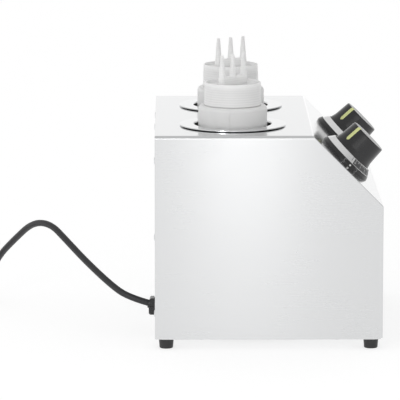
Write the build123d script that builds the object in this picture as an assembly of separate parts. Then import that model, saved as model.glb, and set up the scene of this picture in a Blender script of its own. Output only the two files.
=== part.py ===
from build123d import *
import math
import os

# A countertop warmer for two squeeze bottles of topping: a folded steel casing with a sloped
# control panel, two heated wells, a lift-out pot in each well and a bottle in each pot.
# Millimetres. x runs from the casing's back face (0) to the front, y across the two wells
# ("near" is -y, "far" is +y), z up from the surface that the feet stand on. The last step
# moves everything along x so that the origin is under the middle of the warmer's box.

# ---- casing
case_length = 250.0      # back face to front face
case_width = 324.0
case_height = 225.5      # bottom edge to deck
deck_length = 172.7      # back face to the fold between deck and control panel
slope_drop = 78.0        # height that the control panel falls over its length
case_sheet = 1.2
fold_radius = 2.5        # outside radius of the two folds across the casing
side_bend_radius = 3.4   # outside radius where the deck bends down into the sides
edge_radius = 0.8        # welded and ground edges of the sides
back_lip = 11.0          # in-turned lip round the open back
bottom_lip = 14.0        # in-turned lip round the open bottom
corner_notch = 2.0       # bend relief in the bottom front corners
rear_sheet = 1.0
rear_gap = 0.3           # between the rear panel's edge and the casing's outline
base_sheet = 1.0
base_inset = 4.0         # base plate's edge inside the casing's outline
base_corner = 6.0

# ---- feet
foot_height = 10.5
foot_top_r = 8.3
foot_bottom_r = 7.4
foot_inset = 12.4        # foot's middle from the casing's faces
foot_bore_r = 4.7
foot_bore_depth = 5.0

# ---- wells, pots
well_pitch = 154.0
well_bore_r = 46.5
well_sheet = 1.0
well_flange_r = 62.0
well_corner = 6.0
deck_hole_r = 50.0
stud_circle_r = 56.0
stud_r = 2.0
stud_length = 9.0
pot_bore_r = 42.5
pot_sheet = 1.0
pot_flange_r = 59.0
pot_depth = 174.0        # underside of the flange to the underside of the pot's floor
pot_gap = 1.0            # flange's underside above the deck, as the pot stands on the well floor
pot_corner = 8.0

# ---- bottles and caps
bottle_r = 38.2
bottle_wall = 1.5
bottle_shoulder = 23.0   # top of the shoulder above the deck
shoulder_radius = 4.5
neck_r = 28.2
neck_bore_r = 26.4
cap_gap = 0.3            # between the shoulder and the cap's skirt
cap_rim = 48.5           # top of the cap's rim above the deck
cap_bottom_r = 31.7
cap_top_r = 31.1
cap_wall = 1.6
cap_recess = 3.0         # depth of the cap's top inside the rim
seal_thickness = 1.2
boss_height = 6.2        # nozzle block above the rim
boss_width = 8.4
nozzle_pitch = 18.0
nozzle_count = 3
nozzle_length = 24.4
nozzle_base_r = 3.8
nozzle_tip_r = 1.8
nozzle_bore_base_r = 2.4
nozzle_bore_tip_r = 0.9
row_turn = {"near": 48.8, "far": 38.0}   # how far each nozzle row is turned from the x axis

# ---- controls on the slope, heights measured out from the panel
knob_from_fold = 54.5
knob_pitch = well_pitch
bezel_r = 33.3
bezel_top_r = 31.6
bezel_height = 4.8
bezel_plate = 2.2
ring_top_r = 26.6
ring_height = 6.4
knob_skirt_r = 24.6
knob_waist_r = 23.2
knob_top_r = 21.7
knob_bottom = 7.2
knob_flare = 12.0
knob_waist = 17.5
knob_top = 37.3
knob_wall = 2.2
knob_edge = 1.6
knob_hub_r = 6.5
knob_hub_bottom = 8.0
spindle_r = 3.0
spindle_bottom = -5.5
spindle_top = 25.0
spindle_flat = 1.9       # distance of the D flat from the spindle's axis
collar_r = 5.0
collar_top = 4.0
pointer_width = 2.4
pointer_bottom = 19.0
pointer_over_top = 2.0   # how far the pointer runs in over the knob's top
pointer_inlay = 0.8
pointer_proud = 0.3
pointer_turn = 43.5      # from straight up the slope towards the near side
control_screw_pitch = 28.0
window_turn = 98.6       # middle of the bezel's oval window, from up the slope to the near side
window_width = 20.0
window_height = 3.4
window_depth = 1.6
dot_r = 1.0

# ---- thermostat behind the panel
bracket_sheet = 1.5
thermostat_length = 34.0
thermostat_width = 30.0
thermostat_depth = 27.0
bellows_r = 12.0
bellows_height = 6.0
bulb_r = 3.0
bulb_length = 66.0
bulb_bottom = 90.0       # above the well's floor
capillary_r = 1.0

# ---- heater band, insulation, cut-out
band_bottom = 8.0        # above the well's floor
band_height = 60.0
band_thickness = 3.5
band_slit = 8.0
ear_length = 10.0
ear_sheet = 2.0
clamp_bolt_r = 2.5
jacket_r = 66.0
jacket_top_gap = 12.0    # below the deck
jacket_slot = 24.0
cutout_r = 8.0
cutout_height = 9.0
boss_r = 5.0
boss_depth = 5.0

# ---- screws
m4_r = 2.0
m4_head_r = 3.8
m4_head = 2.3
m4_nut_flats = 7.0
m4_nut = 3.2
thread_gap = 0.05        # round a thread in its nut or tapped hole
clearance_hole = 0.3     # round a screw in a sheet
seat_gap = 0.25          # between curved faces that sit on each other
running_gap = 0.05       # round the turning spindle

# ---- cord
cord_r = 3.7
gland_y = -69.0
gland_z = 32.1
gland_tilt = 16.3        # the cord leaves this much upwards
gland_collar_r = 9.0
gland_nose = 8.0         # mouth's distance from the panel
turn_gap = 0.6           # between neighbouring turns of the coil
layer_gap = 2.8          # between its two layers, so that the climbing turn clears the rest
coil_r = 50.0            # outer turn
coil_at = (-272.6, 124.8)
coil_lift = 1.1          # the tie passes under the coil
tie_width = 10.0
tie_sheet = 0.9
lead_out = 24.0          # straight run out of the gland's mouth
floor_run = 22.0         # last run of the lead, level on the floor and in line with the coil
coil_tail = 33.0         # straight run from the coil to the plug
# The lead's corners beyond that first run, down to the floor beside the coil.
lead_route = [
    (-50.2, -56.9, 52.9),
    (-79.0, -27.4, 74.6),
    (-101.9, -0.1, 94.0),
    (-119.6, 21.0, 108.8),
    (-141.0, 46.4, 106.2),
    (-162.7, 72.2, 82.6),
    (-183.6, 97.1, 57.3),
    (-193.5, 112.5, 32.0),
    (-205.0, 127.0, 14.0),
]

# ---- plug
plug_boot_length = 24.0
plug_boot_tip_r = 5.0
plug_boot_r = 8.0
plug_body_length = 27.0
plug_width = 30.0
blade_pitch = 12.7
blade_width = 6.3
blade_sheet = 1.5
blade_length = 17.5
ground_r = 2.4
ground_length = 21.0
ground_offset = 11.9

# ---- worked out from the sizes above
case_z = foot_height + base_sheet
deck_z = case_z + case_height
slope_run = case_length - deck_length
slope_angle = math.degrees(math.atan2(slope_drop, slope_run))
under_deck = deck_z - case_sheet
well_x = deck_length / 2
well_floor = deck_z + pot_gap - pot_depth
bottle_floor = well_floor + pot_sheet
shoulder_z = deck_z + bottle_shoulder
cap_bottom = shoulder_z + cap_gap
rim_z = deck_z + cap_rim
cap_floor = rim_z - cap_recess
cap_under = cap_floor - cap_wall
neck_top = cap_under - seal_thickness
well_r = well_bore_r + well_sheet
well_top = under_deck
flange_under = well_top - well_sheet
rear_screw_head = m4_head
sides = {"near": -1, "far": 1}
turn_pitch = 2 * cord_r + turn_gap
coil_low = cord_r + coil_lift
coil_high = coil_low + 2 * cord_r + layer_gap
slope_sin = math.sin(math.radians(slope_angle))
slope_cos = math.cos(math.radians(slope_angle))
knob_reach = (
    deck_length
    + (knob_from_fold + knob_top_r) * slope_cos
    + knob_top * slope_sin
    - knob_edge * (slope_sin + slope_cos - 1)
)
middle_x = (knob_reach - rear_screw_head) / 2


def outline(corners):
    """A flat face through corners given as (x, y) or (x, y, fillet radius)."""
    radii = [corner[2] if len(corner) > 2 else 0 for corner in corners]
    points = [(corner[0], corner[1]) for corner in corners]
    return make_face(FilletPolyline(*points, radius=radii, close=True))


def lathe(corners):
    """A turned or drawn piece: corners are (radius, height) or (radius, height, fillet)."""
    return revolve(Plane.XZ * outline(corners), Axis.Z)


def on_slope(side):
    """The place of one control: x down the slope, y across, z out of the panel."""
    along = knob_from_fold
    angle = math.radians(slope_angle)
    origin = (
        deck_length + along * math.cos(angle),
        sides[side] * knob_pitch / 2,
        deck_z - along * math.sin(angle),
    )
    down = (math.cos(angle), 0, -math.sin(angle))
    out = (math.sin(angle), 0, math.cos(angle))
    return Plane(origin=origin, x_dir=down, z_dir=out).location


def at_well(side):
    """The place of one well's axis, with z kept as the height above the surface."""
    return Pos(well_x, sides[side] * well_pitch / 2, 0)


def tube(radius, z_low, z_high):
    """A rod along z."""
    return Pos(0, 0, z_low) * extrude(Circle(radius), z_high - z_low)


def pan_screw(length):
    """A pan-head screw along -z, its seat at z = 0 and its head above."""
    head = lathe([(0, 0), (m4_head_r, 0), (m4_head_r, m4_head, 1.2), (0, m4_head)])
    return head + tube(m4_r, -length, 0)


def hex_nut(z_low):
    """A nut on the z axis, open for its screw."""
    plan = RegularPolygon(m4_nut_flats / 2, 6, major_radius=False)
    nut = Pos(0, 0, z_low) * extrude(plan, m4_nut)
    return nut - tube(m4_r + thread_gap, z_low - 1, z_low + m4_nut + 1)


# ---- casing


def casing_block(inset):
    """The casing's outer form, or the hollow that lies inset inside it."""
    low = case_z + inset
    back = rear_sheet + inset
    front = case_length - inset
    angle = math.radians(slope_angle)
    # how far a face parallel to the slope moves the fold along the deck
    shift = inset * math.tan(angle / 2)
    drop = inset * (1 - math.cos(angle)) / math.cos(math.pi / 2 - angle)
    fold = max(fold_radius - inset, 0.4)
    profile = outline([
        (back, low),
        (back, deck_z - inset),
        (deck_length - shift, deck_z - inset, fold),
        (front, deck_z - slope_drop - inset * math.tan((math.pi / 2 - angle) / 2), fold),
        (front, low),
    ])
    half = case_width / 2 - inset
    block = Pos(0, half, 0) * extrude(Plane.XZ * profile, 2 * half)
    if inset == 0:
        flanks = block.faces().filter_by(Axis.Y)
        ground = [
            edge
            for face in flanks
            for edge in face.edges()
            if edge.center().Z > low + 1 and edge.center().X > back + 1
        ]
        block = fillet(ground, edge_radius)
    return block & rounded_section(inset, 0, case_length)


def rounded_section(inset, x_low, x_high):
    """A long block whose top edges carry the bend of the deck into the sides."""
    half = case_width / 2 - inset
    bend = side_bend_radius - inset
    section = outline([
        (-half, case_z + inset),
        (half, case_z + inset),
        (half, deck_z - inset, bend),
        (-half, deck_z - inset, bend),
    ])
    return Pos(x_low, 0, 0) * extrude(Plane.YZ * section, x_high - x_low)


def foot_places():
    xs = (foot_inset, case_length - foot_inset)
    ys = (-case_width / 2 + foot_inset, case_width / 2 - foot_inset)
    return [(x, y) for x in xs for y in ys]


def base_screw_places():
    y = case_width / 2 - case_sheet - bottom_lip / 2
    xs = [case_length * share for share in (0.2, 0.5, 0.8)]
    return [(x, side * y) for x in xs for side in (-1, 1)]


def rear_screw_places():
    """(y, z) of the rear panel's screws, on the middle of the casing's back lip."""
    y = case_width / 2 - case_sheet - back_lip / 2
    low = case_z + case_sheet + back_lip / 2
    high = under_deck - back_lip / 2
    flank = [(side * y, low + (high - low) * share) for side in (-1, 1) for share in (0.1, 0.5, 0.9)]
    rows = [(side * y * 0.3, z) for side in (-1, 1) for z in (low, high)]
    return flank + rows


def stud_places():
    return PolarLocations(stud_circle_r, 4, start_angle=45)


def casing_shell():
    shell = casing_block(0) - casing_block(case_sheet)
    inner_half = case_width / 2 - case_sheet
    back_low, back_high = case_z + case_sheet + back_lip, under_deck - back_lip
    window = Box(4 * case_sheet, 2 * (inner_half - back_lip), back_high - back_low)
    shell -= Pos(rear_sheet, 0, (back_low + back_high) / 2) * window
    left = rear_sheet + case_sheet + bottom_lip
    right = case_length - case_sheet - bottom_lip
    opening = Box(right - left, 2 * (inner_half - bottom_lip), 4 * case_sheet)
    shell -= Pos((left + right) / 2, 0, case_z) * opening
    notch = Box(2 * corner_notch, case_width + 2, 2 * corner_notch)
    shell -= Pos(case_length, 0, case_z - corner_notch / 4) * notch
    for side in sides:
        shell -= at_well(side) * tube(deck_hole_r, under_deck - 5, deck_z + 5)
        place = on_slope(side)
        shell -= place * tube(collar_r + clearance_hole, -5, 5)
        for end in (-1, 1):
            hole = tube(m4_r + clearance_hole, -5, 5)
            shell -= place * Pos(0, end * control_screw_pitch / 2, 0) * hole
        stud = tube(stud_r, under_deck - stud_length, under_deck + case_sheet / 2)
        shell += [at_well(side) * place * stud for place in stud_places()]
    for x, y in foot_places():
        shell -= Pos(x, y, 0) * tube(m4_r + clearance_hole, case_z - 1, case_z + 3)
    for x, y in base_screw_places():
        shell -= Pos(x, y, 0) * tube(m4_r + thread_gap, case_z - 1, case_z + 3)
    for y, z in rear_screw_places():
        shell -= Pos(rear_sheet, y, z) * Rot(0, 90, 0) * tube(m4_r + thread_gap, -3, 3)
    return shell


def rear_panel():
    """Flat sheet over the open back, with two groups of vent slots and the gland's hole."""
    panel = rounded_section(rear_gap, 0, rear_sheet)
    slot_length, slot_width, slot_pitch, slot_count = 56.0, 4.0, 11.0, 6
    slot = SlotOverall(slot_length, slot_width)
    slots = Sketch() + GridLocations(well_pitch, slot_pitch, 2, slot_count) * slot
    middle = case_z + 0.68 * case_height
    panel -= Pos(-1, 0, middle) * extrude(Plane.YZ * slots, rear_sheet + 2)
    panel -= Pos(0, gland_y, gland_z) * Rot(0, 90, 0) * tube(gland_barrel_r + seat_gap, -3, 3)
    for y, z in rear_screw_places():
        panel -= Pos(0, y, z) * Rot(0, 90, 0) * tube(m4_r + clearance_hole, -3, 3)
    return panel


def rear_panel_screws():
    screw = Rot(0, -90, 0) * pan_screw(9.0)
    return [Pos(0, y, z) * screw for y, z in rear_screw_places()]


def base_plate():
    width = case_width - 2 * base_inset
    length = case_length - 2 * base_inset
    plan = Pos(case_length / 2, 0) * RectangleRounded(length, width, base_corner)
    slot_length, slot_width, slot_pitch, slot_count = 70.0, 5.0, 12.0, 7
    slot = SlotOverall(slot_length, slot_width, rotation=90)
    slots = Sketch() + GridLocations(slot_pitch, well_pitch, slot_count, 2) * slot
    plan -= Pos(well_x + 25, 0) * slots
    for x, y in foot_places() + base_screw_places():
        plan -= Pos(x, y) * Circle(m4_r + clearance_hole)
    for x, y in block_screw_places():
        plan -= Pos(x, y) * Circle(block_screw_r + thread_gap)
    plan -= Pos(*earth_at) * Circle(earth_r + thread_gap)
    return Pos(0, 0, foot_height) * extrude(plan, base_sheet)


def base_plate_screws():
    screw = Rot(180, 0, 0) * pan_screw(8.0)
    return [Pos(x, y, foot_height) * screw for x, y in base_screw_places()]


def rubber_feet():
    foot = lathe([
        (m4_r + clearance_hole, foot_height),
        (foot_top_r, foot_height, 0.4),
        (foot_bottom_r, 0, 1.2),
        (foot_bore_r, 0),
        (foot_bore_r, foot_bore_depth),
        (m4_r + clearance_hole, foot_bore_depth),
    ])
    return [Pos(x, y, 0) * foot for x, y in foot_places()]


def foot_screws():
    """A screw up through each foot, with its nut on the casing's bottom lip."""
    pieces = []
    for x, y in foot_places():
        screw = Rot(180, 0, 0) * pan_screw(13.5)
        pieces.append(Pos(x, y, foot_bore_depth) * screw)
        pieces.append(Pos(x, y, 0) * hex_nut(case_z + case_sheet))
    return pieces


# ---- wells and what heats them


def well(side):
    """Deep-drawn well, its flange under the deck and a tapped boss under its floor."""
    shell = lathe([
        (0, well_floor - well_sheet),
        (well_r, well_floor - well_sheet, well_corner + well_sheet),
        (well_r, flange_under, 0.6),
        (well_flange_r, flange_under),
        (well_flange_r, well_top),
        (well_bore_r, well_top, 1.4),
        (well_bore_r, well_floor, well_corner),
        (0, well_floor),
    ])
    low = well_floor - well_sheet - boss_depth
    shell += tube(boss_r, low, well_floor - well_sheet / 2)
    shell -= tube(m4_r + thread_gap, low - 1, low + boss_depth - 0.6)
    shell -= stud_places() * tube(stud_r + clearance_hole, flange_under - 1, well_top + 1)
    return at_well(side) * shell


def well_nuts():
    nuts = []
    for side in sides:
        for place in stud_places():
            nuts.append(at_well(side) * place * hex_nut(flange_under - m4_nut))
    return nuts


def heater_band(side):
    """Split band heater clamped round the well, with ears and two terminal posts."""
    low = well_floor + band_bottom
    inner = well_r + seat_gap
    ring = tube(inner + band_thickness, low, low + band_height)
    ring -= tube(inner, low - 1, low + band_height + 1)
    middle = low + band_height / 2
    ear = Box(ear_length + 2, band_slit + 2 * ear_sheet, 0.8 * band_height)
    ring += Pos(inner + band_thickness + ear_length / 2 - 1, 0, middle) * ear
    ring -= Pos(inner + ear_length, 0, middle) * Box(4 * ear_length, band_slit, band_height + 2)
    across = Pos(inner + band_thickness + ear_length / 2, 0, middle) * Rot(90, 0, 0)
    ring -= across * tube(clamp_bolt_r + clearance_hole, -band_slit, band_slit)
    ring -= tube(inner, low - 1, low + band_height + 1)
    for turn in (150, 172):
        face = inner + band_thickness
        post = Rot(0, 0, -sides[side] * turn) * Pos(face - 1, 0, middle) * Rot(0, 90, 0)
        ring += post * (tube(4.5, 0, 5.0) + tube(m4_r, 0, 12.0))
    return at_well(side) * ring


def clamp_bolts():
    """The bolt and nut that draw each band's ears together."""
    pieces = []
    middle = well_floor + band_bottom + band_height / 2
    reach = well_r + seat_gap + band_thickness + ear_length / 2
    half = band_slit / 2 + ear_sheet
    hexagon = RegularPolygon(4.0, 6, major_radius=False)
    for side in sides:
        place = at_well(side) * Pos(reach, 0, middle) * Rot(90, 0, 0)
        head = Pos(0, 0, half) * extrude(hexagon, 3.2)
        pieces.append(place * (head + tube(clamp_bolt_r, -half - 6, half + 1)))
        nut = Pos(0, 0, -half - 4) * extrude(hexagon, 4)
        pieces.append(place * (nut - tube(clamp_bolt_r + thread_gap, -half - 5, -half + 1)))
    return pieces


def insulation(side):
    """Glass-wool jacket round the well above the band, slotted for the sensing bulb."""
    low = well_floor + band_bottom + band_height + 2
    high = deck_z - jacket_top_gap
    jacket = tube(jacket_r, low, high) - tube(well_r + seat_gap, low - 1, high + 1)
    jacket -= Pos(jacket_r, 0, (low + high) / 2) * Box(jacket_r, jacket_slot, high - low + 2)
    return at_well(side) * jacket


def thermal_cutouts():
    """Overheat switches, screwed up into the boss under each well."""
    top = well_floor - well_sheet - boss_depth
    body = lathe([
        (0, top),
        (cutout_r, top, 0.5),
        (cutout_r, top - cutout_height, 1.0),
        (0, top - cutout_height),
    ])
    body += tube(m4_r, top - 1, top + boss_depth - 1.2)
    for x in (-3.5, 3.5):
        body += Pos(x, 0, top - cutout_height - 3.0) * Box(0.8, 6.3, 8.0)
    return [at_well(side) * body for side in sides]


# ---- thermostats


def d_section(radius, flat):
    """A round section with one flat, as on a control spindle."""
    return Circle(radius) - Pos(radius + flat, 0) * Rectangle(2 * radius, 3 * radius)


def thermostat(side):
    """Bracket against the panel's back, threaded collar, switch body and bellows."""
    top = -case_sheet
    plate = RectangleRounded(20.0, control_screw_pitch + 12.0, 3.0)
    body = Pos(0, 0, top - bracket_sheet) * extrude(plate, bracket_sheet)
    case = RectangleRounded(thermostat_width, thermostat_length, 2.5)
    low = top - bracket_sheet - thermostat_depth
    body += Pos(0, 0, low) * extrude(case, thermostat_depth)
    body += tube(collar_r, top - bracket_sheet, collar_top)
    body += tube(bellows_r, low - bellows_height, low)
    for y in (-10, 10):
        body += Pos(-11.5, y, low - 4.0) * Box(0.8, 6.3, 8.0)
    body -= tube(spindle_r + running_gap, spindle_bottom - 0.5, collar_top + 1)
    for end in (-1, 1):
        place = Pos(0, end * control_screw_pitch / 2, 0)
        body -= place * tube(m4_r + thread_gap, top - 8.0, top + 1)
    return on_slope(side) * body


def spindle(side):
    """Round in the thermostat's collar, with a flat where the knob grips it."""
    shaft = tube(spindle_r, spindle_bottom, knob_hub_bottom)
    flat = Pos(0, 0, knob_hub_bottom) * extrude(
        d_section(spindle_r, spindle_flat), spindle_top - knob_hub_bottom
    )
    return on_slope(side) * (shaft + flat)


def capillary(side):
    """The sensing bulb against the well and the fine tube from it to the bellows."""
    y = sides[side] * well_pitch / 2
    bulb_x = well_x + well_r + seat_gap + bulb_r
    low = well_floor + bulb_bottom
    high = low + bulb_length
    depth = case_sheet + bracket_sheet + thermostat_depth + bellows_height
    tail = (on_slope(side) * Pos(0, 0, -depth)).position
    knee = (on_slope(side) * Pos(0, 0, -depth - 12.0)).position
    bulb = Pos(bulb_x, y, low) * lathe([
        (0, 0), (bulb_r, 0, 1.2), (bulb_r, bulb_length, 1.2), (0, bulb_length),
    ])
    path = FilletPolyline(
        (bulb_x, y, high - 2),
        (bulb_x, y, high + 7),
        (bulb_x + 20, y, high + 7),
        (bulb_x + 20, y, knee.Z),
        tuple(knee),
        tuple(tail),
        radius=[4, 6, 6, 4],
    )
    start = Plane(origin=path @ 0, z_dir=path % 0)
    return bulb + sweep(start * Circle(capillary_r), path=path)


def bulb_clips():
    """Two spring straps holding each bulb against its well."""
    pieces = []
    strap_height, strap_sheet = 7.0, 0.8
    at_x = well_r + seat_gap + bulb_r
    outer = bulb_r + seat_gap + strap_sheet
    plan = Pos(at_x, 0) * Circle(outer)
    plan += Pos(at_x - bulb_r / 2 - strap_sheet / 2, 0) * Rectangle(bulb_r - strap_sheet, 2 * outer)
    foot_y = 9.0
    plan += Pos(well_r + seat_gap + strap_sheet / 2, 0) * Rectangle(strap_sheet, 2 * foot_y)
    plan -= Pos(at_x, 0) * Circle(bulb_r + seat_gap)
    plan -= Pos(at_x - bulb_r, 0) * Rectangle(2 * bulb_r, 2 * (bulb_r + seat_gap))
    for side in sides:
        for share in (0.25, 0.75):
            z = well_floor + bulb_bottom + share * bulb_length
            pieces.append(at_well(side) * Pos(0, 0, z) * extrude(plan, strap_height))
    return pieces


# ---- controls


def bezel(side):
    """Round plastic base of a control, with the oval window in its near side."""
    body = lathe([
        (bezel_r - 2.1, 0),
        (bezel_r, 0),
        (bezel_r, 0.9, 0.5),
        (bezel_top_r, bezel_height, 0.4),
        (collar_r + 1.2, bezel_height),
        (collar_r + 1.2, bezel_height - bezel_plate),
        (bezel_r - 4.5, bezel_height - bezel_plate, 0.8),
    ])
    for end in (-1, 1):
        place = Pos(0, end * control_screw_pitch / 2, 0)
        body += place * tube(m4_head_r + 0.6, 0, bezel_height - bezel_plate / 2)
        body -= place * tube(m4_r + clearance_hole, -1, bezel_height + 1)
    return on_slope(side) * (body - window_block(0.0))


def window_block(gap):
    """The oval pocket cut radially into the bezel's wall, or the lens that fills it."""
    face = bezel_r - window_depth + gap
    turn = Rot(0, 0, 180 + window_turn)
    plan = SlotOverall(window_width - 2 * gap, window_height - 2 * gap)
    block = extrude(Plane.YZ * plan, 2 * bezel_r)
    return turn * Pos(face, 0, window_height / 2 + 0.5) * block


def index_window(side):
    """Smoked oval lens in the bezel's wall, with a raised index dot."""
    inner = bezel_r - window_depth
    hull = lathe([
        (inner - 2, 0.2), (bezel_r + 0.25, 0.2), (bezel_r + 0.25, 0.9, 0.5),
        (bezel_top_r + 0.25, bezel_height, 0.4), (inner - 2, bezel_height),
    ])
    lens = hull & window_block(running_gap)
    dot = tube(dot_r, bezel_r - 1.0, bezel_r + 0.7)
    turn = Rot(0, 0, 180 + window_turn)
    lens += turn * Pos(0, 0, window_height / 2 + 0.5) * Rot(0, 90, 0) * dot
    return on_slope(side) * lens


def scale_ring(side):
    """The bright cone that carries the scale, lying on the bezel round the knob."""
    top = bezel_height + ring_height
    ring = lathe([
        (bezel_top_r - 0.4, bezel_height),
        (ring_top_r, top, 0.3),
        (ring_top_r - 1.2, top),
        (ring_top_r - 1.2, top - 1.2),
        (bezel_top_r - 2.4, bezel_height),
    ])
    return on_slope(side) * ring


def control_screws():
    pieces = []
    for side in sides:
        for end in (-1, 1):
            place = Pos(0, end * control_screw_pitch / 2, bezel_height)
            pieces.append(on_slope(side) * place * pan_screw(13.0))
    return pieces


def knob_form(grow):
    """The knob's outer form, grown or shrunk by grow."""
    return lathe([
        (0, knob_bottom),
        (knob_skirt_r + grow, knob_bottom),
        (knob_skirt_r + grow, knob_flare, 2.0),
        (knob_waist_r + grow, knob_waist, 6.0),
        (knob_top_r + grow, knob_top + grow, knob_edge),
        (0, knob_top + grow),
    ])


def pointer_slab(width, low):
    """A radial slab that marks the pointer's place on the knob."""
    inner = knob_top_r - pointer_over_top
    slab = Box(knob_skirt_r, width, knob_top - low + 5)
    slab = Pos(inner + knob_skirt_r / 2, 0, low + (knob_top - low + 5) / 2) * slab
    return Rot(0, 0, 180 + pointer_turn) * slab


def knob(side):
    """Hollow moulding with a hub that grips the spindle and a groove for the pointer."""
    body = knob_form(0)
    top = knob_top - knob_wall - 0.8
    body -= lathe([
        (knob_hub_r, knob_bottom - 1),
        (knob_skirt_r - knob_wall, knob_bottom - 1),
        (knob_skirt_r - knob_wall, knob_flare),
        (knob_waist_r - knob_wall, knob_waist),
        (knob_top_r - knob_wall, top, 1.0),
        (knob_hub_r, top),
    ])
    body -= tube(knob_hub_r + 1, knob_bottom - 1, knob_hub_bottom)
    bore = d_section(spindle_r + running_gap, spindle_flat + running_gap)
    body -= Pos(0, 0, knob_hub_bottom - 1) * extrude(bore, spindle_top - knob_hub_bottom + 1.5)
    gap = running_gap
    groove = pointer_slab(pointer_width + 2 * gap, pointer_bottom - gap) - knob_form(-pointer_inlay - gap)
    return on_slope(side) * (body - groove)


def knob_pointer(side):
    """Pale inlay down the knob's wall and over its top edge."""
    bar = (knob_form(pointer_proud) - knob_form(-pointer_inlay)) & pointer_slab(
        pointer_width, pointer_bottom
    )
    return on_slope(side) * bar


# ---- pots, bottles, caps


def pot(side):
    """Lift-out pot with a wide flange that hides the hole in the deck."""
    under = deck_z + pot_gap
    return at_well(side) * lathe([
        (0, well_floor),
        (pot_bore_r + pot_sheet, well_floor, pot_corner + pot_sheet),
        (pot_bore_r + pot_sheet, under, 0.6),
        (pot_flange_r, under),
        (pot_flange_r, under + pot_sheet, 0.4),
        (pot_bore_r, under + pot_sheet, 1.4),
        (pot_bore_r, well_floor + pot_sheet, pot_corner),
        (0, well_floor + pot_sheet),
    ])


def bottle(side):
    """Blown squeeze bottle with a wide neck."""
    wall = bottle_wall
    return at_well(side) * lathe([
        (0, bottle_floor + 2.0),
        (24.0, bottle_floor + 2.0, 3.0),
        (28.0, bottle_floor, 1.5),
        (bottle_r, bottle_floor, 5.0),
        (bottle_r, shoulder_z, shoulder_radius),
        (neck_r, shoulder_z),
        (neck_r, neck_top, 0.4),
        (neck_bore_r, neck_top, 0.4),
        (neck_bore_r, shoulder_z - wall),
        (bottle_r - wall, shoulder_z - wall, shoulder_radius - wall),
        (bottle_r - wall, bottle_floor + wall, 3.5),
        (28.0, bottle_floor + wall, 1.5),
        (24.0, bottle_floor + 2.0 + wall, 3.0),
        (0, bottle_floor + 2.0 + wall),
    ])


def nozzle_places(count=nozzle_count):
    return GridLocations(nozzle_pitch, 0, count, 1)


def nozzle_cap(side):
    """Screw cap with a recessed top, an oblong block and a row of tapered nozzles."""
    skirt = neck_r + 1.8
    cap = lathe([
        (0, cap_under),
        (skirt, cap_under, 0.4),
        (skirt, cap_bottom),
        (cap_bottom_r, cap_bottom, 0.5),
        (cap_top_r, rim_z, 0.7),
        (cap_top_r - cap_wall, rim_z, 0.7),
        (cap_top_r - cap_wall, cap_floor, 0.8),
        (0, cap_floor),
    ])
    block_top = rim_z + boss_height
    tip = block_top + nozzle_length
    block = extrude(SlotCenterToCenter(nozzle_pitch * (nozzle_count - 1), boss_width), block_top - cap_floor + 0.5)
    block = Pos(0, 0, cap_floor - 0.5) * block
    block = fillet(block.edges().group_by(Axis.Z)[-1], 1.0)
    nozzle = Pos(0, 0, block_top - 0.5) * lathe([
        (0, 0), (nozzle_base_r, 0), (nozzle_tip_r, tip - block_top + 0.5), (0, tip - block_top + 0.5),
    ])
    passage = lathe([
        (0, cap_under - 1), (nozzle_bore_base_r, cap_under - 1), (nozzle_bore_tip_r, tip + 1), (0, tip + 1),
    ])
    cap = cap + block + nozzle_places() * nozzle
    cap -= nozzle_places() * passage
    return at_well(side) * Rot(0, 0, row_turn[side]) * cap


def cap_seal(side):
    """Soft washer between the neck's lip and the cap."""
    ring = tube(neck_r + 1.2, neck_top, cap_under) - tube(neck_bore_r - 1.0, neck_top - 1, cap_under + 1)
    return at_well(side) * ring


# ---- mains side

block_at = (46.0, gland_y)
block_length = 36.0
block_width = 18.0
block_height = 18.0
block_screw_r = 1.5
earth_at = (46.0, -22.0)
earth_r = 2.5
gland_barrel_r = 7.8
gland_barrel_length = 14.0


def block_screw_places():
    x, y = block_at
    return [(x, y + end * (block_length / 2 + 4.0)) for end in (-1, 1)]


def terminal_block():
    """Three-pole block with wire entries front and back, on two ears."""
    x, y = block_at
    low = foot_height + base_sheet
    body = Pos(0, 0, low + block_height / 2) * Box(block_width, block_length, block_height)
    body = fillet(body.edges().filter_by(Axis.Z), 1.5)
    body += Pos(0, 0, low) * extrude(RectangleRounded(10.0, block_length + 16.0, 3.0), 3.0)
    for step in (-1, 0, 1):
        pole = Pos(0, step * block_length / 3, 0)
        body -= pole * Pos(0, 0, low + 8.0) * Rot(0, 90, 0) * tube(2.0, -block_width, block_width)
        body -= pole * tube(2.2, low + 8.0, low + block_height + 1)
    for end in (-1, 1):
        place = Pos(0, end * (block_length / 2 + 4.0), 0)
        body -= place * tube(block_screw_r + thread_gap, low - 1, low + 4)
    return Pos(x, y, 0) * body


def block_screws():
    low = foot_height + base_sheet + 3.0
    screw = lathe([(0, 0), (2.8, 0), (2.8, 1.8, 0.8), (0, 1.8)]) + tube(block_screw_r, -5.5, 0)
    return [Pos(x, y, low) * screw for x, y in block_screw_places()]


def earth_stud():
    """Earth screw through the base plate, with its nut."""
    x, y = earth_at
    low = foot_height
    hexagon = RegularPolygon(4.0, 6, major_radius=False)
    stud = tube(earth_r, low - 1, low + 17.0) + Pos(0, 0, low - 3.2) * extrude(hexagon, 3.2)
    nut = Pos(0, 0, low + base_sheet) * extrude(hexagon, 4.0)
    nut -= tube(earth_r + thread_gap, low, low + 8.0)
    return [Pos(x, y, 0) * stud, Pos(x, y, 0) * nut]


def mouth_direction():
    tilt = math.radians(gland_tilt)
    return Vector(-math.cos(tilt), 0, math.sin(tilt))


def gland_mouth():
    return Vector(0, gland_y, gland_z) + mouth_direction() * gland_nose


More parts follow.
